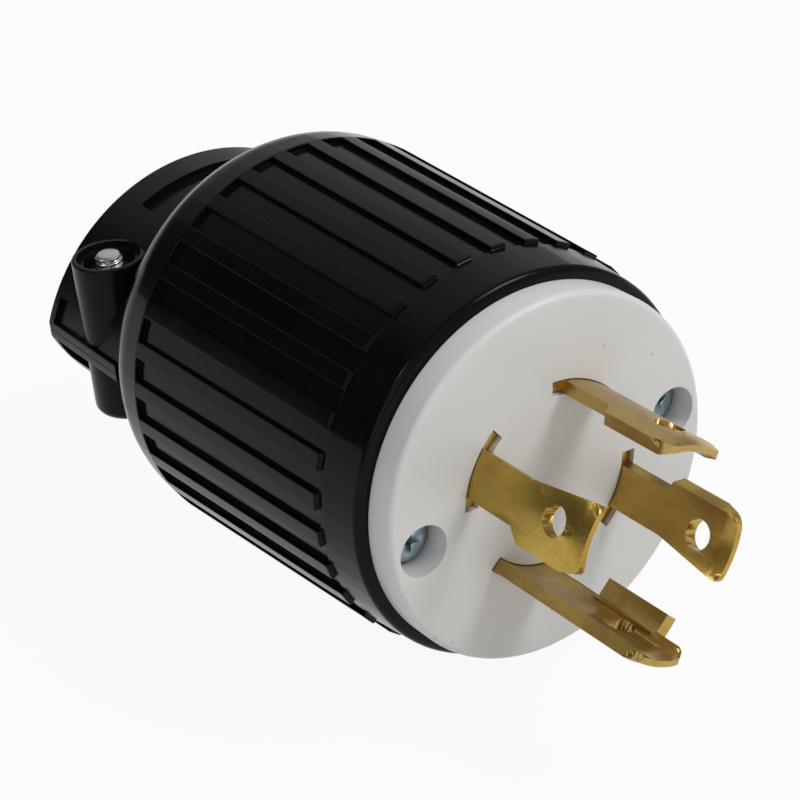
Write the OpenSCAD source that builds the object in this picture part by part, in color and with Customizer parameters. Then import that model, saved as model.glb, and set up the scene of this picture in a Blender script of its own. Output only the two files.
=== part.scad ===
// Locking power plug with four curved blades, a ribbed barrel and a two-part cord clamp.
// The plug axis runs along X with the blades toward +X, and the face lies in the plane X = 0.

/* [Face] */
// Radius of the white face disc
face_r = 25; // [23:0.5:27]
// Rounding of the disc's front edge
face_edge = 0.9; // [0.5:0.1:1.5]
// Length of disc standing in front of the housing
face_front = 4.4; // [3:0.2:6]
// Whole depth of the face insert
face_depth = 10; // [9:0.5:12]

/* [Blades] */
// Outer radius of the ring the blades stand on
blade_r = 13.5; // [13:0.1:14]
// Blade thickness
blade_t = 1.8; // [1.5:0.1:2]
// Reach of the three contact blades in front of the face
blade_len = 20.9; // [20:0.1:23]
// Reach of the ground blade in front of the face
ground_len = 26.6; // [25:0.1:30]
// Angle of the first blade round the axis
blade_turn = 152.7; // [148:0.1:158]
// Angle from a blade's centre line to the narrow side of its neck
neck_low = 12.7; // [11:0.1:14]
// Angle from a blade's centre line to the wide side of its neck
neck_high = 15.2; // [14:0.1:17]
// Angle from a blade's centre line to the head's locking side
head_high = 23.2; // [21:0.1:24]
// Distance of the locking step from the face
step_z = 8.5; // [7.5:0.1:9.5]
// Slope of the locking step in degrees
step_slope = 33; // [20:1:45]
// Start of the flare on the other side, in front of the face
flare_z = 9.6; // [9.2:0.1:11]
// Lean of the flare in degrees
flare_lean = 7.9; // [5:0.1:9]
// Radius of the hole near each blade's tip
hole_r = 2; // [1.6:0.1:2.2]
// Length of the bevel at a blade's tip
tip_bevel = 1.9; // [1.4:0.1:2.4]
// Angle from a blade's centre line to the side of the root in its slot
root_angle = 23.3; // [22.5:0.1:23.6]
// Angle from the ground blade's centre line to its sides
ground_angle = 20.8; // [19:0.1:22]

/* [Ground strip] */
// Start of the folded strip in front of the face
strip_z = 10.1; // [9:0.1:12]
// Length of the folded strip
strip_len = 10.8; // [10:0.1:12]
// Reach of the strip from its fold
strip_reach = 2.5; // [2:0.1:3]
// Lean of the strip from the inward direction
strip_lean = 19; // [10:1:28]

/* [Assembly screws] */
// Distance of the two face screws from the cavity wall
screw_inset = 4; // [3.8:0.1:4.4]
// Angle of the first face screw
screw_turn = 5.3; // [2:0.1:9]
// Radius of the counterbores in the face
counter_r = 3.5; // [3.3:0.05:3.6]
// Depth of the counterbores
counter_depth = 5.4; // [5:0.1:6.4]
// Radius of the face screw's shank
screw_r = 1.75; // [1.5:0.05:1.9]
// Radius of the face screw's head
screw_head_r = 3.1; // [2.8:0.05:3.2]
// Height of the face screw's head
screw_head_h = 2.3; // [1.8:0.1:2.6]

/* [Housing] */
// Height of the collar lip above the disc radius
lip_rise = 1.6; // [1:0.1:1.8]
// Height of the rib tops above the disc radius at their front end
rib_rise = 2.7; // [2.4:0.1:3]
// Growth of the rib radius from front to rear
rib_taper = 1.75; // [1:0.05:2]
// Number of ribs
rib_count = 32; // [28:1:36]
// Height of a rib over its channels
rib_height = 0.75; // [0.5:0.05:0.9]
// Width of a rib
rib_width = 2.25; // [1.8:0.05:2.6]
// Front end of the ribs behind the face
rib_start = 12; // [11:0.1:13]
// Rear end of the channels behind the face
rib_end = 52.8; // [50:0.1:54]
// Radius of the rounded rear shoulder
shoulder_r = 8.8; // [8:0.1:9.6]
// Rear end of the barrel behind the face
barrel_end = 64.1; // [63:0.1:66]
// Width of the shelf in the housing that the face insert seats on
shelf_w = 0.8; // [0.6:0.05:1]

/* [Clamp] */
// Turn of the cord clamp round the plug axis
clamp_turn = 1.1; // [-4:0.1:6]
// Half width of the clamp at its split plane
clamp_half = 26.2; // [25.9:0.1:26.6]
// Radius of the clamp's arch
arch_r = 28.3; // [28:0.1:28.8]
// Distance of the arch centre beyond the split plane
arch_drop = 9.6; // [9.4:0.1:10]
// Length of the clamp behind the barrel
clamp_len = 19.3; // [18.5:0.1:20]
// Distance of each clamp screw from the plug axis
tower_x = 20.4; // [20:0.1:20.6]
// Distance of the clamp screws behind the barrel
tower_back = 8.2; // [7.8:0.1:8.6]
// Radius of the towers
tower_r = 5.3; // [5.2:0.05:5.4]
// Height of the upper towers over the split plane
tower_top = 13.7; // [13.2:0.1:14.4]
// Depth of the lower bosses under the split plane
boss_low = 10.6; // [9.8:0.1:10.8]
// Radius of the gripping land for the cord
cord_r = 10; // [9:0.1:10.4]
// Radius of the clamp screw's thread
clamp_screw_r = 2; // [1.8:0.05:2.1]
// Across flats of the hex nuts
nut_flats = 7; // [6.8:0.05:7.1]
// Height of the hex nuts
nut_h = 3.2; // [2.8:0.1:3.4]

/* [Clearances] */
// Gap between parts that slide together
slide_gap = 0.1; // [0.05:0.01:0.15]
// Gap between parts that are seated or threaded
seat_gap = 0.03; // [0.02:0.01:0.05]

/* [Hidden] */
$fn = 96;
cavity_r = face_r - shelf_w;
screw_ring = cavity_r - screw_inset;
blade_in = blade_r - blade_t;
ground_turn = blade_turn + 90;
turns = [blade_turn, blade_turn - 90, blade_turn - 180];
rib_pitch = 360 / rib_count;
// Puts two ribs side by side at the bottom, so that the plug lies steady
rib_turn = 270 + rib_pitch / 2;
rib_r1 = face_r + rib_rise;
lip_r = face_r + lip_rise;
shoulder_z = barrel_end - shoulder_r;
rib_slope = rib_taper / (shoulder_z - rib_start);
rib_r2 = rib_r1 + rib_taper;
arc_r = rib_r2 - shoulder_r;
floor_r1 = rib_r1 - rib_height;
floor_r2 = rib_r1 + rib_slope * (rib_end - rib_start) - rib_height;
collar_r = floor_r1 + 0.15;
rear_wall = 4.8;
inner_arc = cavity_r - arc_r;
spigot_r = cavity_r - slide_gap;
cord_in = cord_r + 0.5;
neck_r = cord_in + 2.4;
flange_r = neck_r + 1.6;
neck_end = barrel_end + 6.8;
clamp_end = barrel_end + clamp_len;
tower_z = barrel_end + tower_back;
flange_h = 2;
carrier_r = cavity_r - 3 * slide_gap;
carrier_z1 = face_depth + seat_gap;
carrier_z2 = face_depth + 20;
plate_z = face_depth + 5.5;
rear_plate = 2.5;
fit_angle = slide_gap / blade_in * 180 / PI;
flange_angle = root_angle + 4.9;
flange_back = face_depth - 2;
root_top = 0.8;
mid_r = blade_r - blade_t / 2;
head_half = mid_r * sin(head_high);
flare_half = mid_r * sin(neck_low) + (blade_len - flare_z) * tan(flare_lean);
ground_half = mid_r * sin(ground_angle);
tail_half = 3.7;
tail_end = face_depth + 16;
yoke_half = 5.1;
yoke_wall = 1.1;
yoke_in = 7;
yoke_floor = 1.2;
yoke_top = blade_r + 1.5;
yoke_out = yoke_top + 1.6;
yoke_z1 = plate_z + 1.5;
yoke_len = 8;
term_r = 2;
term_head_r = 3.3;
term_z = yoke_z1 + yoke_len / 2;
boss_r = 4.6;
boss_z = carrier_z2 + seat_gap;
insert_r = 3;
insert_len = 8;
screw_tip = boss_z + 1.5 * insert_len;
screw_room = 2;
grip_len = 4;
grip_back = 1;
rim_w = 5.3;
pocket_half = 11.2;
pocket_deep = 1;
panel_border = 1.3;
panel_deep = 0.7;
cup_r = tower_r - 0.75;
nut_z = tower_top - 2.6 - nut_h;
nut_pocket = nut_flats + 0.25;
head_seat = boss_low - 4.2;
clamp_head_r = 3.5;
clamp_tip = tower_top + 0.3;

black = [0.03, 0.03, 0.035];
white = [0.93, 0.93, 0.92];
cream = [0.85, 0.84, 0.8];
brass = [0.72, 0.55, 0.2];
zinc = [0.7, 0.74, 0.76];

// Turns a part drawn standing on Z so that it lies along X
module along() {
    rotate([90, 0, 90]) children();
}

// Moves a part drawn along +Z so that it points outward from the axis at angle a
module outward(a) {
    rotate([0, 0, a]) rotate([90, 0, 90]) children();
}

function arc(cx, cy, r, a1, a2, n) =
    [for (i = [0 : n]) [cx + r * cos(a1 + (a2 - a1) * i / n), cy + r * sin(a1 + (a2 - a1) * i / n)]];

// A wedge of the plane between two angles
module wedge(r, half) {
    polygon([[0, 0], [r, -r * tan(half)], [r, r * tan(half)]]);
}

module ring_sector(r1, r2, turn, half, z1, z2) {
    rotate([0, 0, turn]) translate([0, 0, z1]) linear_extrude(z2 - z1) intersection() {
        difference() {
            circle(r = r2);
            circle(r = r1);
        }
        wedge(3 * r2, half);
    }
}

module cross_recess(r, deep) {
    for (a = [0, 90]) rotate([0, 0, a]) translate([-r, -0.35, -deep]) cube([2 * r, 0.7, deep + 1]);
}

module housing_profile() {
    polygon(concat(
        [[cavity_r, -face_front], [face_r + 0.05, -face_front]],
        arc(lip_r - 0.9, -face_front - 1.2, 0.9, 70, 4, 5),
        [[collar_r, -rib_start], [rib_r1, -rib_start], [rib_r2, -shoulder_z]],
        arc(arc_r, -shoulder_z, shoulder_r, -6, -90, 12),
        [[neck_r, -barrel_end], [neck_r, -neck_end + flange_h]],
        [[flange_r, -neck_end + flange_h], [flange_r, -neck_end], [cord_in, -neck_end]],
        [[cord_in, -barrel_end + rear_wall]],
        arc(arc_r, -shoulder_z, inner_arc, -90, 0, 8)
    ));
}

module channels() {
    difference() {
        rotate_extrude() polygon([
            [floor_r1, -rib_start], [rib_r2 + 3, -rib_start],
            [rib_r2 + 3, -rib_end], [floor_r2, -rib_end]
        ]);
        for (i = [0 : rib_count - 1]) {
            rotate([0, 0, rib_turn + i * rib_pitch])
            translate([floor_r1 / 2, -rib_width / 2, -rib_end - 1])
            cube([rib_r2, rib_width, rib_end - rib_start + 2]);
        }
    }
}

module at_screws() {
    for (k = [0, 180]) rotate([0, 0, screw_turn + k]) translate([screw_ring, 0, 0]) children();
}

module housing() {
    color(black) along() difference() {
        union() {
            difference() {
                rotate_extrude() housing_profile();
                channels();
            }
            intersection() {
                at_screws() translate([0, 0, -barrel_end + rear_wall - 3])
                    cylinder(r = boss_r, h = barrel_end - rear_wall + 3 - boss_z);
                translate([0, 0, -barrel_end + 1]) cylinder(r = cavity_r + 0.6, h = barrel_end);
            }
        }
        at_screws() translate([0, 0, -boss_z - insert_len]) cylinder(r = insert_r, h = insert_len + 1, $fn = 48);
        at_screws() translate([0, 0, -screw_tip - screw_room])
            cylinder(r = screw_r + screw_room / 6, h = screw_tip - boss_z + screw_room, $fn = 48);
    }
}

module face_insert() {
    color(white) along() difference() {
        rotate_extrude() polygon(concat(
            [[0, 0]],
            arc(face_r - face_edge, -face_edge, face_edge, 90, 0, 6),
            [[face_r, -face_front], [spigot_r, -face_front], [spigot_r, -face_depth], [0, -face_depth]]
        ));
        for (t = turns) slot_pair(t, root_angle + fit_angle);
        slot_pair(ground_turn, ground_angle + fit_angle);
        at_screws() translate([0, 0, -counter_depth]) cylinder(r = counter_r, h = counter_depth + 1);
        at_screws() translate([0, 0, -face_depth - 1]) cylinder(r = screw_r + 0.25, h = face_depth, $fn = 48);
    }
}

module slot_pair(t, half) {
    ring_sector(blade_in - slide_gap, blade_r + slide_gap, t, half, -face_depth - 1, 1);
    ring_sector(blade_in - slide_gap, blade_r + slide_gap, t, flange_angle + 2 * fit_angle,
        -face_depth - 1, -flange_back + slide_gap);
}

module chamber(t) {
    rotate([0, 0, t]) translate([yoke_in - slide_gap, -yoke_half - 0.2, -carrier_z2 + rear_plate])
        cube([cavity_r, 2 * yoke_half + 0.4, carrier_z2 - rear_plate - plate_z]);
    ring_sector(blade_in - slide_gap, blade_r + slide_gap, t, asin(tail_half / blade_in) + 1,
        -plate_z - 1, 0);
    rotate([0, 0, t]) translate([blade_in - 1.8, 0, -carrier_z2 - 1]) cylinder(r = 2.6, h = rear_plate + 2, $fn = 48);
}

module terminal_carrier() {
    color(cream) along() difference() {
        translate([0, 0, -carrier_z2]) cylinder(r = carrier_r, h = carrier_z2 - carrier_z1);
        for (t = concat(turns, [ground_turn])) chamber(t);
        at_screws() translate([0, 0, -carrier_z2 - 1]) cylinder(r = screw_r + 0.25, h = carrier_z2 + 1, $fn = 48);
    }
}

// Shell of the blade ring with both faces bevelled at the tip
module blade_shell(len) {
    rotate_extrude() polygon([
        [blade_in, -tail_end], [blade_r, -tail_end], [blade_r, len - tip_bevel],
        [blade_r - 0.5, len], [blade_in + 0.5, len], [blade_in, len - tip_bevel]
    ]);
}

// Part of a blade between two radial sides and two heights
module fan(low, high, z1, z2) {
    r = 3 * blade_r;
    translate([0, 0, z1]) linear_extrude(z2 - z1)
        polygon([[0, 0], [r, -r * tan(low)], [r, r * tan(high)]]);
}

// Tail, flange and root that every blade has behind the face
module blade_foot(root) {
    translate([0, -tail_half, -tail_end - 1]) cube([2 * blade_r, 2 * tail_half, tail_end]);
    fan(flange_angle, flange_angle, -face_depth, -flange_back);
    fan(root, root, -flange_back - 0.5, -root_top);
}

// Half space on one side of a blade, leaning about the radius at angle a and height z
module side_cut(a, z, lean, y, z0) {
    reach = 2 * blade_r;
    rotate([0, 0, a]) translate([0, 0, z]) rotate([lean, 0, 0]) translate([0, y, z0]) cube(reach);
}

function rounded_tip(half, len, reach) = [
    [2 * half, -tail_end - 2], [2 * half, len - 2 * reach],
    [half + 0.45, len - 2 * reach], [half, len - 1.25 * reach],
    [half - 0.07 * reach, len - 0.85 * reach], [half - 0.26 * reach, len - 0.42 * reach],
    [half - 0.58 * reach, len - 0.12 * reach], [half - reach, len], [half - reach, len + 1]
];

module tip_outline(low, high, len, reach_low, reach_high) {
    polygon(concat(
        rounded_tip(high, len, reach_high),
        [for (i = [8 : -1 : 0]) let (q = rounded_tip(low, len, reach_low)[i]) [-q[0], q[1]]]
    ));
}

module line_blade(t) {
    color(brass) along() rotate([0, 0, t]) difference() {
        intersection() {
            blade_shell(blade_len);
            union() {
                blade_foot(root_angle);
                fan(neck_low, neck_high, -root_top - 0.5, step_z);
                fan(neck_low, head_high, step_z - 0.01, flare_z);
                fan(head_high, head_high, flare_z - 0.01, blade_len + 1);
            }
            outward(0) linear_extrude(2 * blade_r)
                tip_outline(flare_half, head_half, blade_len, 1.1, 1.7);
        }
        side_cut(neck_high, step_z, step_slope, 0, -2 * blade_r);
        side_cut(-neck_low, flare_z, flare_lean, -2 * blade_r, 0);
        outward(0) translate([0, blade_len - 5.5, 0]) cylinder(r = hole_r, h = 2 * blade_r, $fn = 64);
    }
}

module line_blade_1() {
    line_blade(turns[0]);
}

module line_blade_2() {
    line_blade(turns[1]);
}

module neutral_blade() {
    line_blade(turns[2]);
}

// Cross-section of the strip that is folded inward along one edge of the ground blade
module strip_section() {
    fx = blade_in * cos(ground_angle);
    fy = blade_in * sin(ground_angle);
    ox = blade_r * cos(ground_angle);
    oy = blade_r * sin(ground_angle);
    dx = -cos(strip_lean);
    dy = sin(strip_lean);
    polygon([
        [fx + 0.1, fy - 1], [fx, fy], [fx + strip_reach * dx, fy + strip_reach * dy],
        [fx + strip_reach * dx + blade_t * dy * 0.97, fy + strip_reach * dy - blade_t * dx],
        [fx - 0.25 * dx + blade_t * dy, fy - blade_t * dx],
        [ox - 0.42, oy + 0.85], [ox - 0.16, oy + 0.45], [ox, oy], [ox + 0.1, oy - 1]
    ]);
}

module ground_blade() {
    color(brass) along() rotate([0, 0, ground_turn]) union() {
        difference() {
            intersection() {
                blade_shell(ground_len);
                union() {
                    blade_foot(ground_angle);
                    fan(ground_angle, ground_angle, -root_top - 0.5, ground_len + 1);
                }
                outward(0) linear_extrude(2 * blade_r)
                    tip_outline(ground_half, ground_half, ground_len, 1.4, 2.1);
            }
            outward(0) translate([1, ground_len - 9, 0]) cylinder(r = hole_r, h = 2 * blade_r, $fn = 64);
        }
        translate([0, 0, strip_z]) linear_extrude(strip_len) strip_section();
    }
}

// Box yoke that draws a wire against the inner side of a blade's tail
module yoke(t) {
    color(zinc) along() rotate([0, 0, t]) translate([0, 0, -yoke_z1 - yoke_len]) difference() {
        translate([yoke_in, -yoke_half, 0]) cube([yoke_out - yoke_in, 2 * yoke_half, yoke_len]);
        translate([yoke_in + yoke_floor, -yoke_half + yoke_wall, -1])
            cube([yoke_top - yoke_in - yoke_floor, 2 * (yoke_half - yoke_wall), yoke_len + 2]);
        translate([yoke_top - 1, 0, yoke_len / 2]) rotate([0, 90, 0])
            cylinder(r = term_r + seat_gap, h = 4, $fn = 48);
    }
}

module terminal_clamp_1() {
    yoke(turns[0]);
}

module terminal_clamp_2() {
    yoke(turns[1]);
}

module terminal_clamp_3() {
    yoke(turns[2]);
}

module terminal_clamp_4() {
    yoke(ground_turn);
}

module terminal_screws() {
    color(brass) along() for (t = concat(turns, [ground_turn])) {
        translate([0, 0, -term_z]) outward(t) difference() {
            union() {
                translate([0, 0, blade_r + seat_gap]) cylinder(r = term_r, h = yoke_out + 0.6 - blade_r, $fn = 48);
                translate([0, 0, yoke_out + 0.4]) cylinder(r = term_head_r, h = 2, $fn = 48);
            }
            translate([0, 0, yoke_out + 2.4]) cross_recess(term_head_r * 0.6, 1.1);
        }
    }
}

module assembly_screws() {
    color(zinc) along() at_screws() difference() {
        rotate_extrude($fn = 64) polygon(concat(
            [[0, -screw_tip], [screw_r - 0.5, -screw_tip], [screw_r, -screw_tip + 0.6]],
            [[screw_r, -counter_depth + seat_gap], [screw_head_r, -counter_depth + seat_gap]],
            arc(screw_head_r - 0.8, -counter_depth + screw_head_h - 0.8, 0.8, 0, 80, 5),
            [[0, -counter_depth + screw_head_h]]
        ));
        translate([0, 0, -counter_depth + screw_head_h]) cross_recess(screw_head_r * 0.62, 1.3);
    }
}

module assembly_inserts() {
    color(brass) along() at_screws() translate([0, 0, -boss_z - insert_len]) difference() {
        cylinder(r = insert_r - seat_gap / 2, h = insert_len - 0.2, $fn = 48);
        translate([0, 0, -1]) cylinder(r = screw_r + seat_gap, h = insert_len + 2, $fn = 48);
    }
}

// Outline of one clamp half, seen from behind, with the split plane at y = 0
module arch_shape(r, low) {
    intersection() {
        translate([0, -arch_drop]) circle(r = r, $fn = 144);
        translate([-clamp_half, low]) square([2 * clamp_half, 40]);
    }
}

module arch_body() {
    z1 = -clamp_end;
    z2 = -barrel_end - slide_gap;
    difference() {
        translate([0, 0, z1]) linear_extrude(z2 - z1) arch_shape(arch_r, slide_gap / 2);
        // recessed panel between the rear rim and the barrel
        translate([-pocket_half, 0, z1 + rim_w]) cube([2 * pocket_half, 40, 20]) ;
        // bordered panels on the ears
        for (s = [-1, 1]) translate([s * clamp_half - (s + 1) * 2, panel_border, z1 + panel_border])
            cube([4, 5 - panel_border, 20]);
    }
    intersection() {
        translate([0, 0, z1]) linear_extrude(z2 - z1) arch_shape(arch_r - pocket_deep, slide_gap / 2);
        translate([-pocket_half - 0.5, -1, z1]) cube([2 * pocket_half + 1, 60, 40]);
    }
    intersection() {
        translate([0, 0, z1]) linear_extrude(z2 - z1) arch_shape(arch_r - panel_deep, slide_gap / 2);
        translate([-clamp_half, 0, z1]) cube([2 * clamp_half, 60, 40]);
        for (s = [-1, 1]) translate([s * (clamp_half - 2.5) - 2.5, 0, z1]) cube([5, 6, 40]);
    }
}

// Space inside the clamp for the housing's neck, its flange and the cord
module throat() {
    rotate_extrude() polygon([
        [0, -barrel_end + 1], [neck_r + slide_gap, -barrel_end + 1],
        [neck_r + slide_gap, -neck_end + flange_h + slide_gap],
        [flange_r + slide_gap, -neck_end + flange_h + slide_gap],
        [flange_r + slide_gap, -neck_end - slide_gap], [neck_r, -neck_end - slide_gap],
        [neck_r, -clamp_end + grip_back + grip_len + 1.5], [cord_r, -clamp_end + grip_back + grip_len],
        [cord_r, -clamp_end + grip_back], [cord_r + 1.2, -clamp_end - 0.2], [0, -clamp_end - 0.2]
    ]);
}

module at_towers() {
    for (s = [-1, 1]) translate([s * tower_x, 0, -tower_z]) rotate([-90, 0, 0]) children();
}

module clamp_saddle_upper() {
    color(black) along() rotate([0, 0, clamp_turn]) difference() {
        union() {
            arch_body();
            at_towers() rotate_extrude($fn = 72) polygon(concat(
                [[0, slide_gap / 2], [tower_r, slide_gap / 2]],
                arc(tower_r - 0.35, tower_top - 0.35, 0.35, 0, 90, 4),
                [[0, tower_top]]
            ));
        }
        throat();
        at_towers() translate([0, 0, -1]) cylinder(r = clamp_screw_r + 0.2, h = 30, $fn = 48);
        at_towers() translate([0, 0, tower_top - 0.9]) cylinder(r = cup_r, h = 2, $fn = 72);
        at_towers() translate([0, 0, nut_z]) cylinder(r = nut_pocket / 2 / cos(30), h = 30, $fn = 6);
    }
}

module clamp_saddle_lower() {
    color(black) along() rotate([0, 0, clamp_turn]) mirror([0, 1, 0]) difference() {
        union() {
            arch_body();
            at_towers() rotate_extrude($fn = 72) polygon(concat(
                [[0, slide_gap / 2], [tower_r, slide_gap / 2]],
                arc(tower_r - 1.5, boss_low - 1.5, 1.5, 0, 90, 6),
                [[0, boss_low]]
            ));
        }
        throat();
        at_towers() translate([0, 0, -1]) cylinder(r = clamp_screw_r + 0.2, h = 30, $fn = 48);
        at_towers() translate([0, 0, head_seat]) cylinder(r = clamp_head_r + 0.3, h = 30, $fn = 48);
    }
}

module clamp_screws() {
    color(zinc) along() rotate([0, 0, clamp_turn]) at_towers() difference() {
        rotate_extrude($fn = 64) polygon(concat(
            [[0, clamp_tip], [clamp_screw_r - 0.3, clamp_tip], [clamp_screw_r, clamp_tip - 0.4]],
            [[clamp_screw_r, -head_seat - seat_gap], [clamp_head_r, -head_seat - seat_gap]],
            arc(clamp_head_r - 0.9, -head_seat - 1.5, 0.9, 0, -80, 5),
            [[0, -head_seat - 2.4]]
        ));
        translate([0, 0, -head_seat - 2.4]) mirror([0, 0, 1]) cross_recess(clamp_head_r * 0.6, 1.3);
    }
}

module clamp_nuts() {
    color(zinc) along() rotate([0, 0, clamp_turn]) at_towers() translate([0, 0, nut_z + seat_gap]) difference() {
        intersection() {
            cylinder(r = nut_flats / 2 / cos(30), h = nut_h, $fn = 6);
            rotate_extrude($fn = 64) polygon([
                [0, 0], [nut_flats / 2 / cos(30), 0], [nut_flats / 2 / cos(30), nut_h - 0.35],
                [nut_flats / 2 - 0.05, nut_h], [0, nut_h]
            ]);
        }
        translate([0, 0, -1]) cylinder(r = clamp_screw_r + seat_gap, h = nut_h + 2, $fn = 48);
    }
}

housing();
face_insert();
terminal_carrier();
line_blade_1();
line_blade_2();
neutral_blade();
ground_blade();
terminal_clamp_1();
terminal_clamp_2();
terminal_clamp_3();
terminal_clamp_4();
terminal_screws();
assembly_screws();
assembly_inserts();
clamp_saddle_upper();
clamp_saddle_lower();
clamp_screws();
clamp_nuts();
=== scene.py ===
import math
import bmesh
import bpy
from mathutils import Matrix, Vector


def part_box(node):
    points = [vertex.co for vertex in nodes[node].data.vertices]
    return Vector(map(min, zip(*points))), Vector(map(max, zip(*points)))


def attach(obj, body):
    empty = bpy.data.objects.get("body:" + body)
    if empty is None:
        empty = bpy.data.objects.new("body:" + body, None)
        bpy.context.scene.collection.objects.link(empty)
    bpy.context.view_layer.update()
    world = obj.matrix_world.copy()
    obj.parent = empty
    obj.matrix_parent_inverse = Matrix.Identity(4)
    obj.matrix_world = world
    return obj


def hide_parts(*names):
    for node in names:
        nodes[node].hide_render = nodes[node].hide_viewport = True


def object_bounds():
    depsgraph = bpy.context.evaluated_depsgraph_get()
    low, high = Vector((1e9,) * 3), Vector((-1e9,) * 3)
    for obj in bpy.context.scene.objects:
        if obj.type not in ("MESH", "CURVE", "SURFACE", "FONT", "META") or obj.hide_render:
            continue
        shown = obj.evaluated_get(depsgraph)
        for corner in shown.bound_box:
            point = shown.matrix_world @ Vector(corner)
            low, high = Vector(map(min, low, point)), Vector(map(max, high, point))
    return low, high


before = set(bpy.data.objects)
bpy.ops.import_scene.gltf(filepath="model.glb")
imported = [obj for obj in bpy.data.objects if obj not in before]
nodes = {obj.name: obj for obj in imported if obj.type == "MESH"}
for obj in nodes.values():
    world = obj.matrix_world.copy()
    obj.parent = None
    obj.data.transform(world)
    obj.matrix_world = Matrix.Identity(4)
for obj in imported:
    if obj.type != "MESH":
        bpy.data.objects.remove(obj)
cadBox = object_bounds()
mm = 0.001
print("frame loaded:", len(nodes), "nodes")


# Node tree helpers

def put(tree, kind, inputs=None, **settings):
    item = tree.nodes.new(kind)
    for key, value in settings.items():
        setattr(item, key, value)
    for key, value in (inputs or {}).items():
        if isinstance(value, bpy.types.NodeSocket):
            tree.links.new(value, item.inputs[key])
        else:
            item.inputs[key].default_value = value
    return item


def calc(tree, operation, first, second=0.0, clamp=False):
    inputs = {0: first}
    if operation not in ("ABSOLUTE", "SQRT"):
        inputs[1] = second
    return put(tree, "ShaderNodeMath", inputs, operation=operation, use_clamp=clamp).outputs[0]


def remap(tree, value, low, high, outLow=0.0, outHigh=1.0):
    inputs = {"Value": value, "From Min": low, "From Max": high, "To Min": outLow, "To Max": outHigh}
    return put(tree, "ShaderNodeMapRange", inputs, interpolation_type="SMOOTHSTEP").outputs[0]


def blendColour(tree, factor, first, second, mode="MIX"):
    item = put(tree, "ShaderNodeMix", data_type="RGBA", blend_type=mode)
    for key, value in (("Factor", factor), ("A", first), ("B", second)):
        kind = "VALUE" if key == "Factor" else "RGBA"
        socket = next(s for s in item.inputs if s.name == key and s.type == kind)
        if isinstance(value, bpy.types.NodeSocket):
            tree.links.new(value, socket)
        else:
            socket.default_value = value if key == "Factor" else (*value, 1.0)
    return next(s for s in item.outputs if s.type == "RGBA")


def noise(tree, vector, scale, detail=3.0, stretch=(1, 1, 1), roughness=0.5):
    if stretch != (1, 1, 1):
        vector = put(tree, "ShaderNodeMapping", {"Vector": vector, "Scale": stretch}).outputs[0]
    inputs = {"Vector": vector, "Scale": scale, "Detail": detail, "Roughness": roughness}
    return put(tree, "ShaderNodeTexNoise", inputs).outputs["Fac"]


def newGroup(name, inputs, outputs):
    tree = bpy.data.node_groups.new(name, "ShaderNodeTree")
    for label, kind, start in inputs:
        socket = tree.interface.new_socket(label, in_out="INPUT", socket_type=kind)
        socket.default_value = start
    for label, kind in outputs:
        tree.interface.new_socket(label, in_out="OUTPUT", socket_type=kind)
    return tree, put(tree, "NodeGroupInput").outputs, put(tree, "NodeGroupOutput").inputs


def useGroup(tree, group, inputs):
    item = tree.nodes.new("ShaderNodeGroup")
    item.node_tree = group
    for key, value in inputs.items():
        if isinstance(value, bpy.types.NodeSocket):
            tree.links.new(value, item.inputs[key])
        else:
            item.inputs[key].default_value = value
    return item.outputs


# Fine moulded or rolled grain: a height for bumps and a slow blotch for roughness
def makeGrain():
    tree, given, out = newGroup(
        "surfaceGrain",
        [("Scale", "NodeSocketFloat", 1.0), ("Streak", "NodeSocketFloat", 1.0)],
        [("Height", "NodeSocketFloat"), ("Blotch", "NodeSocketFloat")])
    where = put(tree, "ShaderNodeTexCoord").outputs["Object"]
    spread = put(tree, "ShaderNodeCombineXYZ", {0: given["Streak"], 1: 1.0, 2: 1.0}).outputs[0]
    sized = put(tree, "ShaderNodeVectorMath", {0: where, 1: spread}, operation="MULTIPLY").outputs[0]
    size = {0: sized, "Scale": given["Scale"]}
    scaled = put(tree, "ShaderNodeVectorMath", size, operation="SCALE").outputs[0]
    fine = noise(tree, scaled, 3500.0, 2.0)
    coarse = noise(tree, scaled, 420.0, 3.0)
    height = calc(tree, "ADD", calc(tree, "MULTIPLY", fine, 0.35), calc(tree, "MULTIPLY", coarse, 0.65))
    tree.links.new(height, out["Height"])
    tree.links.new(noise(tree, scaled, 90.0, 4.0), out["Blotch"])
    return tree


# Where edges are rubbed: compares the face's own normal with one rounded over the edge
def makeEdgeWear():
    tree, given, out = newGroup(
        "edgeWear",
        [("Radius", "NodeSocketFloat", 0.0003), ("Breakup", "NodeSocketFloat", 0.5)],
        [("Mask", "NodeSocketFloat")])
    rounded = put(tree, "ShaderNodeBevel", {"Radius": given["Radius"]}, samples=6).outputs[0]
    own = put(tree, "ShaderNodeNewGeometry").outputs["Normal"]
    dot = put(tree, "ShaderNodeVectorMath", {0: rounded, 1: own}, operation="DOT_PRODUCT").outputs["Value"]
    edge = remap(tree, calc(tree, "SUBTRACT", 1.0, dot), 0.015, 0.16)
    where = put(tree, "ShaderNodeTexCoord").outputs["Object"]
    patchy = remap(tree, noise(tree, where, 260.0, 4.0), 0.35, 0.62)
    kept = calc(tree, "SUBTRACT", 1.0, calc(tree, "MULTIPLY", given["Breakup"], patchy))
    tree.links.new(calc(tree, "MULTIPLY", edge, kept), out["Mask"])
    return tree


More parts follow.
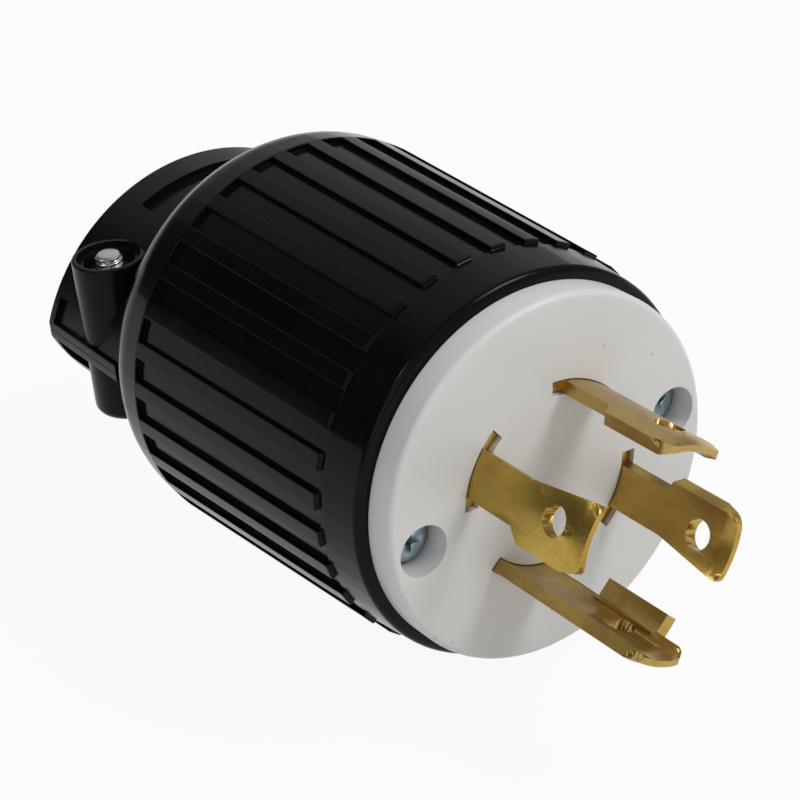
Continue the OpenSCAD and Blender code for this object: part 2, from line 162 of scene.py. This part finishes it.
# Short fine scratches and handling marks in a few directions
def makeScratches():
    tree, given, out = newGroup(
        "fineScratches",
        [("Density", "NodeSocketFloat", 0.5)],
        [("Mask", "NodeSocketFloat")])
    where = put(tree, "ShaderNodeTexCoord").outputs["Object"]
    total = None
    for turn, stretch in ((0.4, (1, 26, 26)), (1.9, (20, 1, 22)), (2.8, (24, 20, 1))):
        spin = {"Vector": where, "Angle": turn}
        spun = put(tree, "ShaderNodeVectorRotate", spin, rotation_type="Z_AXIS").outputs[0]
        line = noise(tree, spun, 70.0, 2.0, stretch)
        thin = remap(tree, calc(tree, "ABSOLUTE", calc(tree, "SUBTRACT", line, 0.5)), 0.0, 0.007, 1.0, 0.0)
        some = remap(tree, noise(tree, where, 130.0 + 40.0 * turn, 2.0), 0.56, 0.68)
        mark = calc(tree, "MULTIPLY", thin, some)
        total = mark if total is None else calc(tree, "MAXIMUM", total, mark)
    tree.links.new(calc(tree, "MULTIPLY", total, given["Density"], True), out["Mask"])
    return tree


# Loose specks of dust and fluff
def makeDust():
    tree, given, out = newGroup(
        "dustSpecks",
        [("Scale", "NodeSocketFloat", 900.0), ("Amount", "NodeSocketFloat", 0.1)],
        [("Mask", "NodeSocketFloat")])
    where = put(tree, "ShaderNodeTexCoord").outputs["Object"]
    cells = put(tree, "ShaderNodeTexVoronoi", {"Vector": where, "Scale": given["Scale"]})
    dot = remap(tree, cells.outputs["Distance"], 0.05, 0.16, 1.0, 0.0)
    level = put(tree, "ShaderNodeSeparateColor", {0: cells.outputs["Color"]}).outputs[0]
    chosen = calc(tree, "LESS_THAN", level, given["Amount"])
    tree.links.new(calc(tree, "MULTIPLY", dot, chosen), out["Mask"])
    return tree


grain = makeGrain()
edgeWear = makeEdgeWear()
scratches = makeScratches()
dust = makeDust()
print("shader groups built")


def newMaterial(name):
    material = bpy.data.materials.new(name)
    material.use_nodes = True
    tree = material.node_tree
    tree.nodes.clear()
    shader = put(tree, "ShaderNodeBsdfPrincipled")
    output = put(tree, "ShaderNodeOutputMaterial")
    tree.links.new(shader.outputs[0], output.inputs[0])
    return material, tree, shader


def link(tree, value, shader, key):
    tree.links.new(value, shader.inputs[key])


def blackPlastic(name, base=0.0035, rough=0.17, edge=0.008, level=0.1):
    material, tree, shader = newMaterial(name)
    skin = useGroup(tree, grain, {"Scale": 1.0, "Streak": 1.0})
    wear = useGroup(tree, edgeWear, {"Radius": 0.22 * mm, "Breakup": 0.8})
    marks = useGroup(tree, scratches, {"Density": 0.5})
    specks = useGroup(tree, dust, {"Scale": 700.0, "Amount": 0.02})
    tone = blendColour(tree, skin["Blotch"], [0.8 * base] * 3, [1.3 * base] * 3)
    # Lighter edges: partly rubbed wear, partly a painted highlight standing in for the thin light lines
    # along the rib edges
    tone = blendColour(tree, calc(tree, "MULTIPLY", wear["Mask"], 0.8), tone, (edge, edge, edge * 1.03))
    tone = blendColour(tree, calc(tree, "MULTIPLY", specks["Mask"], 0.35), tone, (0.05, 0.05, 0.05))
    link(tree, tone, shader, "Base Color")
    matt = remap(tree, skin["Blotch"], 0.3, 0.7, rough * 0.8, rough * 1.3)
    matt = calc(tree, "ADD", matt, calc(tree, "MULTIPLY", marks["Mask"], 0.2))
    link(tree, calc(tree, "ADD", matt, calc(tree, "MULTIPLY", specks["Mask"], 0.3)), shader, "Roughness")
    height = calc(tree, "SUBTRACT", skin["Height"], calc(tree, "MULTIPLY", marks["Mask"], 0.4))
    bump = put(tree, "ShaderNodeBump", {"Strength": 0.25, "Distance": 0.012 * mm, "Height": height})
    link(tree, bump.outputs[0], shader, "Normal")
    shader.inputs["Specular IOR Level"].default_value = level
    return material


def whitePlastic(name):
    material, tree, shader = newMaterial(name)
    skin = useGroup(tree, grain, {"Scale": 0.8, "Streak": 1.0})
    wear = useGroup(tree, edgeWear, {"Radius": 0.4 * mm, "Breakup": 0.4})
    specks = useGroup(tree, dust, {"Scale": 480.0, "Amount": 0.008})
    # Painted shade: the face colour darkens to a warm grey where ambient occlusion finds it hemmed in, in
    # the blade slots and corners
    paintedShade = put(tree, "ShaderNodeAmbientOcclusion", {"Distance": 2.5 * mm}, samples=6).outputs["AO"]
    tone = blendColour(tree, skin["Blotch"], (0.70, 0.695, 0.68), (0.735, 0.732, 0.72))
    tone = blendColour(tree, calc(tree, "MULTIPLY", wear["Mask"], 0.3), tone, (0.79, 0.79, 0.785))
    tone = blendColour(tree, remap(tree, paintedShade, 0.2, 0.75, 0.35, 0.0), tone, (0.42, 0.40, 0.37))
    tone = blendColour(tree, calc(tree, "MULTIPLY", specks["Mask"], 0.4), tone, (0.3, 0.28, 0.25))
    link(tree, tone, shader, "Base Color")
    link(tree, remap(tree, skin["Blotch"], 0.3, 0.7, 0.38, 0.5), shader, "Roughness")
    bump = put(tree, "ShaderNodeBump", {"Strength": 0.35, "Distance": 0.02 * mm, "Height": skin["Height"]})
    link(tree, bump.outputs[0], shader, "Normal")
    shader.inputs["Subsurface Weight"].default_value = 0.12
    shader.inputs["Subsurface Radius"].default_value = (1.0, 0.95, 0.9)
    shader.inputs["Subsurface Scale"].default_value = 0.6 * mm
    return material


def brass(name, gold, brown, olive, tarnish=0.5, green=0.3, rough=0.3, speckle=0.3, streak=0.15):
    material, tree, shader = newMaterial(name)
    skin = useGroup(tree, grain, {"Scale": 1.0, "Streak": streak})
    wear = useGroup(tree, edgeWear, {"Radius": 0.3 * mm, "Breakup": 0.5})
    marks = useGroup(tree, scratches, {"Density": 0.7})
    where = put(tree, "ShaderNodeTexCoord").outputs["Object"]
    cloud = remap(tree, noise(tree, where, 130.0, 5.0), 0.62 - 0.3 * tarnish, 0.9 - 0.3 * tarnish)
    tint = remap(tree, noise(tree, where, 95.0, 3.0), 0.66 - 0.3 * green, 0.9 - 0.3 * green)
    spots = remap(tree, noise(tree, where, 2600.0, 5.0), 0.52, 0.78)
    tone = blendColour(tree, cloud, gold, brown)
    tone = blendColour(tree, calc(tree, "MULTIPLY", tint, 0.75), tone, olive)
    pitted = [0.45 * c for c in brown]
    tone = blendColour(tree, remap(tree, skin["Height"], 0.36, 0.6, 0.4, 0.0), tone, brown)
    tone = blendColour(tree, calc(tree, "MULTIPLY", spots, speckle), tone, pitted)
    bright = [min(1.0, 1.25 * c) for c in gold]
    tone = blendColour(tree, calc(tree, "MULTIPLY", wear["Mask"], 0.55), tone, bright)
    link(tree, tone, shader, "Base Color")
    shader.inputs["Metallic"].default_value = 1.0
    matt = remap(tree, cloud, 0.0, 1.0, rough, rough + 0.14)
    matt = calc(tree, "ADD", matt, calc(tree, "MULTIPLY", spots, 0.12))
    matt = calc(tree, "ADD", matt, calc(tree, "MULTIPLY", marks["Mask"], 0.1))
    link(tree, matt, shader, "Roughness")
    height = calc(tree, "SUBTRACT", skin["Height"], calc(tree, "MULTIPLY", spots, 0.5 * speckle))
    height = calc(tree, "SUBTRACT", height, calc(tree, "MULTIPLY", marks["Mask"], 0.5))
    bump = put(tree, "ShaderNodeBump", {"Strength": 0.55, "Distance": 0.035 * mm, "Height": height})
    link(tree, bump.outputs[0], shader, "Normal")
    return material


def zinc(name, tint, rough=0.28, dull=0.35):
    material, tree, shader = newMaterial(name)
    skin = useGroup(tree, grain, {"Scale": 1.5, "Streak": 1.0})
    wear = useGroup(tree, edgeWear, {"Radius": 0.2 * mm, "Breakup": 0.6})
    marks = useGroup(tree, scratches, {"Density": 0.9})
    faded = [c * (1.0 - dull) for c in tint]
    tone = blendColour(tree, skin["Blotch"], faded, tint)
    tone = blendColour(tree, calc(tree, "MULTIPLY", wear["Mask"], 0.6), tone, (0.85, 0.86, 0.86))
    link(tree, tone, shader, "Base Color")
    shader.inputs["Metallic"].default_value = 1.0
    matt = remap(tree, skin["Height"], 0.3, 0.7, rough * 0.8, rough * 1.3)
    link(tree, calc(tree, "ADD", matt, calc(tree, "MULTIPLY", marks["Mask"], 0.2)), shader, "Roughness")
    bump = put(tree, "ShaderNodeBump", {"Strength": 0.3, "Distance": 0.015 * mm, "Height": skin["Height"]})
    link(tree, bump.outputs[0], shader, "Normal")
    return material


def mattPlastic(name, tone):
    material, tree, shader = newMaterial(name)
    skin = useGroup(tree, grain, {"Scale": 0.6, "Streak": 1.0})
    wear = useGroup(tree, edgeWear, {"Radius": 0.3 * mm, "Breakup": 0.5})
    dark = [0.85 * c for c in tone]
    light = [min(1.0, 1.1 * c) for c in tone]
    colour = blendColour(tree, skin["Blotch"], dark, tone)
    colour = blendColour(tree, calc(tree, "MULTIPLY", wear["Mask"], 0.4), colour, light)
    link(tree, colour, shader, "Base Color")
    link(tree, remap(tree, skin["Blotch"], 0.3, 0.7, 0.5, 0.65), shader, "Roughness")
    bump = put(tree, "ShaderNodeBump", {"Strength": 0.5, "Distance": 0.03 * mm, "Height": skin["Height"]})
    link(tree, bump.outputs[0], shader, "Normal")
    return material


finish = {
    "barrel": blackPlastic("barrelBlack"),
    "clamp": blackPlastic("clampBlack", base=0.0045, rough=0.24),
    "face": whitePlastic("faceWhite"),
    "carrier": mattPlastic("carrierCream", (0.62, 0.6, 0.54)),
    "line1": brass("brassLine1", (0.5, 0.34, 0.07), (0.35, 0.21, 0.05), (0.33, 0.28, 0.07),
                   tarnish=0.45, green=0.3, speckle=0.35),
    "line2": brass("brassLine2", (0.52, 0.36, 0.12), (0.4, 0.22, 0.08), (0.32, 0.31, 0.09),
                   tarnish=0.5, green=0.5, speckle=0.25),
    "neutral": brass("brassNeutral", (0.52, 0.34, 0.08), (0.32, 0.19, 0.05), (0.3, 0.26, 0.07),
                     tarnish=0.55, green=0.5, speckle=0.25),
    "ground": brass("brassGround", (0.5, 0.34, 0.1), (0.3, 0.18, 0.06), (0.34, 0.28, 0.08),
                    tarnish=0.6, green=0.35, speckle=0.45),
    "turned": brass("brassTurned", (0.72, 0.53, 0.22), (0.5, 0.35, 0.14), (0.45, 0.38, 0.16),
                    tarnish=0.3, green=0.2, speckle=0.15, streak=1.0),
    "faceScrew": zinc("zincBluish", (0.45, 0.58, 0.64), rough=0.3),
    "clampScrew": zinc("zincBright", (0.68, 0.68, 0.67), rough=0.26),
    "yoke": zinc("zincYoke", (0.6, 0.62, 0.62), rough=0.35),
}
print("materials built")


# Mesh helpers

def settle(obj, material, slotName, *replaced):
    obj.data.materials.clear()
    obj.data.materials.append(material)
    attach(obj, "root")
    if replaced:
        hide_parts(*replaced)
    return obj


def meshPiece(name, verts, faces):
    mesh = bpy.data.meshes.new(name)
    mesh.from_pydata(verts, [], faces)
    mesh.update()
    mesh.shade_smooth()
    obj = bpy.data.objects.new(name, mesh)
    bpy.context.scene.collection.objects.link(obj)
    return obj


# Copy of a CAD node with its edges rounded by a real bevel
def softened(node, name, width, segments=3, angle=32):
    mesh = nodes[node].data.copy()
    obj = bpy.data.objects.new(name, mesh)
    bpy.context.scene.collection.objects.link(obj)
    work = bmesh.new()
    work.from_mesh(mesh)
    bmesh.ops.remove_doubles(work, verts=work.verts, dist=0.001 * mm)
    bmesh.ops.dissolve_limit(
        work, angle_limit=math.radians(0.6), verts=work.verts, edges=work.edges, delimit={"NORMAL"})
    for face in work.faces:
        face.smooth = True
    work.to_mesh(mesh)
    work.free()
    bevel = obj.modifiers.new("roundEdges", "BEVEL")
    bevel.width = width * mm
    bevel.segments = segments
    bevel.limit_method = "ANGLE"
    bevel.angle_limit = math.radians(angle)
    bevel.use_clamp_overlap = True
    bevel.harden_normals = False
    weigh = obj.modifiers.new("evenShade", "WEIGHTED_NORMAL")
    weigh.keep_sharp = False
    weigh.weight = 80
    return obj


# Closed skin round the plug's axis: each ring is a depth behind the face and a radius per angle
def ringSkin(name, rings, axis, closed=True):
    count = len(rings[0][1])
    verts = []
    for depth, spokes in rings:
        for angle, radius in spokes:
            point = Vector((radius * math.cos(angle), radius * math.sin(angle), -depth))
            verts.append(axis @ (point * mm))
    faces = []
    steps = len(rings) if closed else len(rings) - 1
    for i in range(steps):
        low = i * count
        high = (i + 1) % len(rings) * count
        for j in range(count):
            k = (j + 1) % count
            faces.append((low + j, high + j, high + k, low + k))
    if not closed:
        faces.append(tuple(range(count)))
        faces.append(tuple(range((len(rings) - 1) * count, len(rings) * count))[::-1])
    obj = meshPiece(name, verts, faces)
    work = bmesh.new()
    work.from_mesh(obj.data)
    bmesh.ops.recalc_face_normals(work, faces=work.faces)
    work.to_mesh(obj.data)
    work.free()
    return obj


# Depth and radius along a rounded corner; 90 degrees faces the front and 0 faces outward
def cornerPoints(radius, depth, rounding, start, end, steps):
    out = []
    for i in range(steps + 1):
        a = math.radians(start + (end - start) * i / steps)
        out.append((depth - rounding * math.sin(a), radius + rounding * math.cos(a)))
    return out


def even(depth, radius, count):
    return depth, [(2 * math.pi * j / count, radius) for j in range(count)]


# The plug's axis lies along X: local x, y, z become row Y, Z, X
along = Matrix(((0, 0, 1), (1, 0, 0), (0, 1, 0)))


# Ribbed barrel

barrel = {
    "mouth": 4.4, "lip": 26.6, "lipRound": 0.9, "lipBack": 1.2, "collar": 27.1, "start": 12.0, "end": 52.8,
    "front": 27.7, "rear": 29.45, "height": 0.75, "ribs": 32, "width": 2.25, "lean": 4,
    "shoulder": 8.8, "back": 64.1, "cavity": 24.2, "neck": 12.9, "flange": 14.5,
    "neckEnd": 70.9, "flangeDeep": 2.0, "bore": 10.5, "wall": 4.8,
}


def buildBarrel(b):
    half = b["width"] / 2
    pitch = 2 * math.pi / b["ribs"]
    edge = [(half - 0.3, 1), (half - 0.09, 1), (half - 0.045, 0.97), (half - 0.015, 0.91), (half, 0.82),
            (half + 0.01, 0.06), (half + 0.03, 0.01), (half + 0.09, 0)]
    bend = b["back"] - b["shoulder"]
    slope = (b["rear"] - b["front"]) / (bend - b["start"])

    def spokes(radius, lift, base):
        out = []
        for i in range(b["ribs"]):
            middle = -math.pi / 2 + (i + 0.5) * pitch
            row = [(-u, h) for u, h in reversed(edge)] + [(0, 1)] + edge
            for u, h in row:
                out.append((middle + u / radius, base + b["height"] * lift(h)))
            out.append((middle + pitch / 2, base + b["height"] * lift(0)))
        return out

    def flat(depth, radius):
        return depth, spokes(radius, lambda h: 0, radius)

    rings = [flat(b["mouth"] + 4, b["cavity"]), flat(b["mouth"] + 0.15, b["cavity"]),
             flat(b["mouth"], b["cavity"] + 0.15), flat(b["mouth"], b["cavity"] + 1.0)]
    lipDepth = b["mouth"] + b["lipBack"]
    for depth, radius in cornerPoints(b["lip"] - b["lipRound"], lipDepth, b["lipRound"], 70, 4, 8):
        rings.append(flat(depth, radius))
    for part in (0.15, 0.5, 0.85, 1.0):
        depth = lipDepth + (b["start"] - 0.12 - lipDepth) * part
        rings.append(flat(depth, b["lip"] + (b["collar"] - b["lip"]) * part))
    floorStep = b["collar"] - (b["front"] - b["height"])
    # Front end of the ribs: the channels' floors drop while the ribs keep their height
    for offset, part in ((-0.03, 0.0), (0.0, 0.8), (0.02, 0.92), (0.05, 0.975), (0.1, 1.0), (0.6, 1.0)):
        depth = b["start"] + offset
        base = b["collar"] - floorStep * part
        rings.append((depth, spokes(base, lambda h, r=part: h * r, base)))
    for i in range(1, 9):
        depth = b["start"] + 0.6 + (b["end"] - 0.8 - b["start"] - 0.6) * i / 8
        base = b["front"] - b["height"] + slope * (depth - b["start"])
        rings.append((depth, spokes(base, lambda h: h, base)))
    for offset, part in ((-0.09, 0.0), (-0.03, 0.01), (-0.01, 0.06), (0.0, 0.82), (0.015, 0.91),
                         (0.045, 0.97), (0.09, 1.0), (0.2, 1.0)):
        depth = b["end"] + offset
        base = b["front"] - b["height"] + slope * (depth - b["start"])
        rings.append((depth, spokes(base, lambda h, r=part: max(h, r), base)))
    # Smooth rear band with a soft crease at the ribs' rear ends, then the round shoulder
    drop = math.radians(b["lean"])
    crest = base + b["height"] - b["shoulder"] / math.cos(drop) - (bend - b["end"]) * math.tan(drop)
    rings.append(flat(b["end"] + 0.28, base + b["height"] - 0.08 * math.tan(drop)))
    for depth, radius in cornerPoints(crest, bend, b["shoulder"], -b["lean"], -90, 20):
        rings.append(flat(depth, radius))
    for depth, radius in ((b["back"], b["neck"] + 0.3), (b["back"] + 0.3, b["neck"]),
                          (b["neckEnd"] - b["flangeDeep"], b["neck"]),
                          (b["neckEnd"] - b["flangeDeep"], b["flange"]), (b["neckEnd"], b["flange"]),
                          (b["neckEnd"], b["bore"]), (b["back"] - b["wall"], b["bore"]),
                          (b["back"] - b["wall"], b["rear"] - b["shoulder"]), (bend, b["cavity"])):
        rings.append(flat(depth, radius))
    obj = ringSkin("ribbed_barrel", rings, along)
    weigh = obj.modifiers.new("evenShade", "WEIGHTED_NORMAL")
    weigh.weight = 60
    return obj


settle(buildBarrel(barrel), finish["barrel"], "housing_black", "housing")
print("barrel built")


# Inner posts that the long face screws run into
posts = {
    "shelf": 0.8, "inset": 4.0, "turn": 5.3, "radius": 4.4, "socket": 3.0, "socketDeep": 8.0, "bore": 2.1,
}


def buildPosts(p):
    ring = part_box("face_insert")[1].y / mm - p["shelf"] - p["inset"]
    turn = math.radians(p["turn"])
    top = -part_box("assembly_inserts")[1].x / mm
    foot = barrel["back"] - barrel["wall"]
    for index, sign in enumerate((1, -1)):
        place = Vector((0, sign * ring * math.cos(turn), sign * ring * math.sin(turn))) * mm
        at = Matrix.Translation(place) @ along.to_4x4()
        rings = [even(depth, radius, 32) for depth, radius in (
            (top, p["socket"]), (top, p["radius"]), (foot, p["radius"]),
            (foot, p["bore"]), (top + p["socketDeep"], p["bore"]), (top + p["socketDeep"], p["socket"]))]
        post = ringSkin("screw_post_%d" % (index + 1), rings, at)
        settle(post, finish["barrel"], "housing_black")


buildPosts(posts)

# White face, blades and the inner pieces keep their CAD form with rounded edges
plain = {
    "face_insert": ("white_face", 0.16, "face", "face_white"),
    "line_blade_1": ("blade_line_1", 0.14, "line1", "line_1_brass"),
    "line_blade_2": ("blade_line_2", 0.14, "line2", "line_2_brass"),
    "neutral_blade": ("blade_neutral", 0.14, "neutral", "neutral_brass"),
    "ground_blade": ("blade_ground", 0.14, "ground", "ground_brass"),
    "clamp_saddle_upper": ("clamp_upper", 0.28, "clamp", "clamp_upper_black"),
    "clamp_saddle_lower": ("clamp_lower", 0.28, "clamp", "clamp_lower_black"),
    "terminal_carrier": ("carrier_block", 0.3, "carrier", "carrier_cream"),
    "terminal_clamp_1": ("yoke_1", 0.15, "yoke", "yoke_zinc"),
    "terminal_clamp_2": ("yoke_2", 0.15, "yoke", "yoke_zinc"),
    "terminal_clamp_3": ("yoke_3", 0.15, "yoke", "yoke_zinc"),
    "terminal_clamp_4": ("yoke_4", 0.15, "yoke", "yoke_zinc"),
    "terminal_screws": ("yoke_screws", 0.12, "turned", "terminal_screw_brass"),
    "assembly_inserts": ("threaded_inserts", 0.15, "turned", "insert_brass"),
    "clamp_nuts": ("hex_nuts", 0.12, "clampScrew", "nut_zinc"),
}
for node, (name, width, look, slotName) in plain.items():
    settle(softened(node, name, width), finish[look], slotName, node)
print("softened pieces built")


# Screws: a lathe-turned body with a helical thread and a tapered cross recess

screws = {
    "pitch": 0.8, "deep": 0.42, "spokes": 48, "perTurn": 12,
    "recess": {"reach": 1.95, "half": 0.42, "foot": 0.55, "deep": 1.5},
    "face": {"ring": 20.2, "turn": 5.3, "top": -3.1, "seat": -5.37, "head": 3.1, "round": 0.9,
             "shank": 1.75, "from": 30.5, "tip": 42.0},
    "clamp": {"across": 20.4, "back": 72.3, "turn": 1.1, "tip": 14.0, "seat": 6.43, "head": 3.5,
              "headTop": 8.8, "round": 0.9, "shank": 2.0},
}


def threadRings(radius, low, high, s):
    count = max(2, int((high - low) / s["pitch"] * s["perTurn"]))
    rings = []
    for i in range(count + 1):
        z = low + (high - low) * i / count
        row = []
        for j in range(s["spokes"]):
            phase = (z / s["pitch"] - j / s["spokes"]) % 1.0
            ridge = min(1.0, 2.4 * abs(phase - 0.5))
            row.append((2 * math.pi * j / s["spokes"], radius - s["deep"] * ridge))
        rings.append((-z, row))
    return rings


def crossCutter(r, at, top):
    work = bmesh.new()
    for turn in (0.0, math.pi / 2):
        spin = Matrix.Rotation(turn, 4, "Z")
        corners = []
        for z, reach, half in ((top + 0.3, r["reach"] + 0.2, r["half"] + 0.06),
                               (top - r["deep"], r["foot"], r["half"] * 0.6)):
            for x, y in ((-reach, -half), (reach, -half), (reach, half), (-reach, half)):
                corners.append(work.verts.new(at @ spin @ (Vector((x, y, z)) * mm)))
        for ids in ((3, 2, 1, 0), (4, 5, 6, 7), (0, 1, 5, 4), (1, 2, 6, 5), (2, 3, 7, 6), (3, 0, 4, 7)):
            work.faces.new([corners[i] for i in ids])
        bmesh.ops.recalc_face_normals(work, faces=work.faces)
    mesh = bpy.data.meshes.new("crossCutter")
    work.to_mesh(mesh)
    work.free()
    cutter = bpy.data.objects.new("crossCutter", mesh)
    bpy.context.scene.collection.objects.link(cutter)
    return cutter


def cutRecess(obj, cutter):
    boolean = obj.modifiers.new("recess", "BOOLEAN")
    boolean.operation = "DIFFERENCE"
    boolean.solver = "EXACT"
    boolean.use_self = True
    boolean.object = cutter
    graph = bpy.context.evaluated_depsgraph_get()
    mesh = bpy.data.meshes.new_from_object(obj.evaluated_get(graph))
    obj.modifiers.clear()
    obj.data = mesh
    bpy.data.objects.remove(cutter, do_unlink=True)
    bevel = obj.modifiers.new("roundEdges", "BEVEL")
    bevel.width = 0.05 * mm
    bevel.segments = 2
    bevel.limit_method = "ANGLE"
    bevel.angle_limit = math.radians(40)
    weigh = obj.modifiers.new("evenShade", "WEIGHTED_NORMAL")
    weigh.weight = 70


def buildFaceScrew(index, s, f):
    sign = 1 - 2 * index
    turn = math.radians(f["turn"])
    place = Vector((0, sign * f["ring"] * math.cos(turn), sign * f["ring"] * math.sin(turn))) * mm
    at = Matrix.Translation(place) @ along.to_4x4()
    rings = [even(-f["top"], 0.6, s["spokes"]), even(-f["top"], 1.4, s["spokes"])]
    for depth, radius in cornerPoints(f["head"] - f["round"], -f["top"] + f["round"], f["round"], 90, 0, 8):
        rings.append(even(depth, radius, s["spokes"]))
    rings += [even(-f["seat"], f["head"], s["spokes"]), even(-f["seat"], f["shank"], s["spokes"])]
    rings += threadRings(f["shank"], -f["tip"], -f["from"], s)[::-1]
    rings.append(even(f["tip"] + 0.3, f["shank"] - 0.6, s["spokes"]))
    obj = ringSkin("face_screw_%d" % (index + 1), rings, at, False)
    cutRecess(obj, crossCutter(s["recess"], at @ Matrix.Rotation(0.5 + 0.9 * index, 4, "Z"), f["top"]))
    return obj


def buildClampScrew(index, s, c):
    sign = 1 - 2 * index
    at = along.to_4x4() @ Matrix.Rotation(math.radians(c["turn"]), 4, "Z")
    place = Vector((sign * c["across"], 0, -c["back"])) * mm
    at = at @ Matrix.Translation(place) @ Matrix.Rotation(-math.pi / 2, 4, "X")
    rings = [even(-c["tip"], 0.5, s["spokes"]), even(-c["tip"], c["shank"] - 0.55, s["spokes"]),
             even(-c["tip"] + 0.06, c["shank"] - 0.45, s["spokes"])]
    rings += threadRings(c["shank"], -c["seat"] + 0.4, c["tip"] - 0.25, s)[::-1]
    rings += [even(c["seat"], c["shank"], s["spokes"]), even(c["seat"], c["head"], s["spokes"])]
    inner = c["head"] - c["round"]
    for depth, radius in cornerPoints(inner, c["headTop"] - c["round"], c["round"], 0, -90, 8):
        rings.append(even(depth, radius, s["spokes"]))
    rings.append(even(c["headTop"], 0.6, s["spokes"]))
    obj = ringSkin("clamp_screw_%d" % (index + 1), rings, at, False)
    under = at @ Matrix.Rotation(math.pi, 4, "X")
    cutRecess(obj, crossCutter(s["recess"], under, c["headTop"]))
    return obj


for index in range(2):
    faceScrew = buildFaceScrew(index, screws, screws["face"])
    settle(faceScrew, finish["faceScrew"], "face_screw_zinc", "assembly_screws")
    clampScrew = buildClampScrew(index, screws, screws["clamp"])
    settle(clampScrew, finish["clampScrew"], "clamp_screw_zinc", "clamp_screws")
print("screws built")


# Floor, camera and light

studio = {
    "backTurn": 56.31, "backRise": 28.98, "roll": -4.73, "lens": 105.06,
    "eye": (0.1979, -0.1537, 0.1516),
    "key": ((0.42, 0.36, 0.62), 0.3, 3.35),
    "fill": ((0.3, -0.55, 0.35), 0.5, 0.7),
    "strip": ((-0.25, -0.45, 0.55), 0.08, 0.5),
}


def buildFloor(low):
    size = 2.0
    verts = [(-size, -size, low), (size, -size, low), (size, size, low), (-size, size, low)]
    floor = meshPiece("studio_floor", verts, [(0, 1, 2, 3)])
    material = bpy.data.materials.new("floorWhite")
    material.use_nodes = True
    tree = material.node_tree
    tree.nodes.clear()
    surface = put(tree, "ShaderNodeBsdfDiffuse", {"Color": (0.8, 0.8, 0.8, 1)})
    white = put(tree, "ShaderNodeEmission", {"Color": (1, 1, 1, 1), "Strength": 1.0})
    ray = put(tree, "ShaderNodeLightPath").outputs
    seen = calc(tree, "MAXIMUM", ray["Is Camera Ray"], ray["Is Transmission Ray"])
    seen = calc(tree, "MAXIMUM", seen, ray["Is Glossy Ray"])
    share = calc(tree, "MULTIPLY", seen, 0.93)
    mixed = put(tree, "ShaderNodeMixShader", {0: share, 1: surface.outputs[0], 2: white.outputs[0]})
    put(tree, "ShaderNodeOutputMaterial", {0: mixed.outputs[0]})
    floor.data.materials.append(material)


def aim(tree, way, toward):
    return put(tree, "ShaderNodeVectorMath", {0: way, 1: toward}, operation="DOT_PRODUCT").outputs["Value"]


def buildWorld():
    world = bpy.data.worlds.new("studio")
    world.use_nodes = True
    bpy.context.scene.world = world
    tree = world.node_tree
    tree.nodes.clear()
    ray = put(tree, "ShaderNodeLightPath").outputs
    way = put(tree, "ShaderNodeTexCoord").outputs["Generated"]
    glow = remap(tree, aim(tree, way, (-0.35, 0.9, 0.25)), 0.1, 0.95, 0.05, 0.3)
    glow = calc(tree, "ADD", glow, remap(tree, aim(tree, way, (0.85, -0.1, 0.5)), 0.2, 0.95, 0.0, 0.35))
    glow = calc(tree, "ADD", glow, remap(tree, aim(tree, way, (-0.62, 0.35, 0.7)), 0.72, 0.9, 0.0, 0.35))
    studioLight = put(tree, "ShaderNodeBackground", {"Color": (1, 1, 1, 1), "Strength": glow})
    white = put(tree, "ShaderNodeBackground", {"Color": (1, 1, 1, 1), "Strength": 1.0})
    height = put(tree, "ShaderNodeSeparateXYZ", {0: way}).outputs[2]
    backdrop = calc(tree, "MULTIPLY", ray["Is Glossy Ray"], remap(tree, height, 0.02, 0.12, 1.0, 0.0))
    seen = calc(tree, "MAXIMUM", ray["Is Camera Ray"], ray["Is Transmission Ray"])
    seen = calc(tree, "MAXIMUM", seen, backdrop)
    mixed = put(tree, "ShaderNodeMixShader", {0: seen, 1: studioLight.outputs[0], 2: white.outputs[0]})
    put(tree, "ShaderNodeOutputWorld", {0: mixed.outputs[0]})


def buildLamp(name, place, size, power):
    lamp = bpy.data.lights.new(name, "AREA")
    lamp.size = size
    lamp.energy = power
    obj = bpy.data.objects.new(name, lamp)
    obj.location = place
    obj.rotation_mode = "QUATERNION"
    obj.rotation_quaternion = (Vector(place) - Vector((-0.02, 0, 0))).to_track_quat("Z", "Y")
    bpy.context.scene.collection.objects.link(obj)


def buildCamera(s):
    data = bpy.data.cameras.new("camera")
    data.lens = s["lens"]
    data.sensor_width = 36
    data.clip_start = 0.01
    camera = bpy.data.objects.new("camera", data)
    turn, rise, roll = (math.radians(s[key]) for key in ("backTurn", "backRise", "roll"))
    back = Vector((math.sin(turn) * math.cos(rise), -math.cos(turn) * math.cos(rise), math.sin(rise)))
    level = Vector((math.cos(turn), math.sin(turn), 0))
    upright = back.cross(level)
    right = level * math.cos(roll) + upright * math.sin(roll)
    up = back.cross(right)
    pose = Matrix((right, up, back)).transposed().to_4x4()
    pose.translation = s["eye"]
    camera.matrix_world = pose
    bpy.context.scene.collection.objects.link(camera)
    bpy.context.scene.camera = camera


buildFloor(cadBox[0].z)
buildWorld()
for lampName in ("key", "fill", "strip"):
    buildLamp(lampName, *studio[lampName])
buildCamera(studio)
bpy.context.scene.view_settings.view_transform = "Standard"
print("stage built")
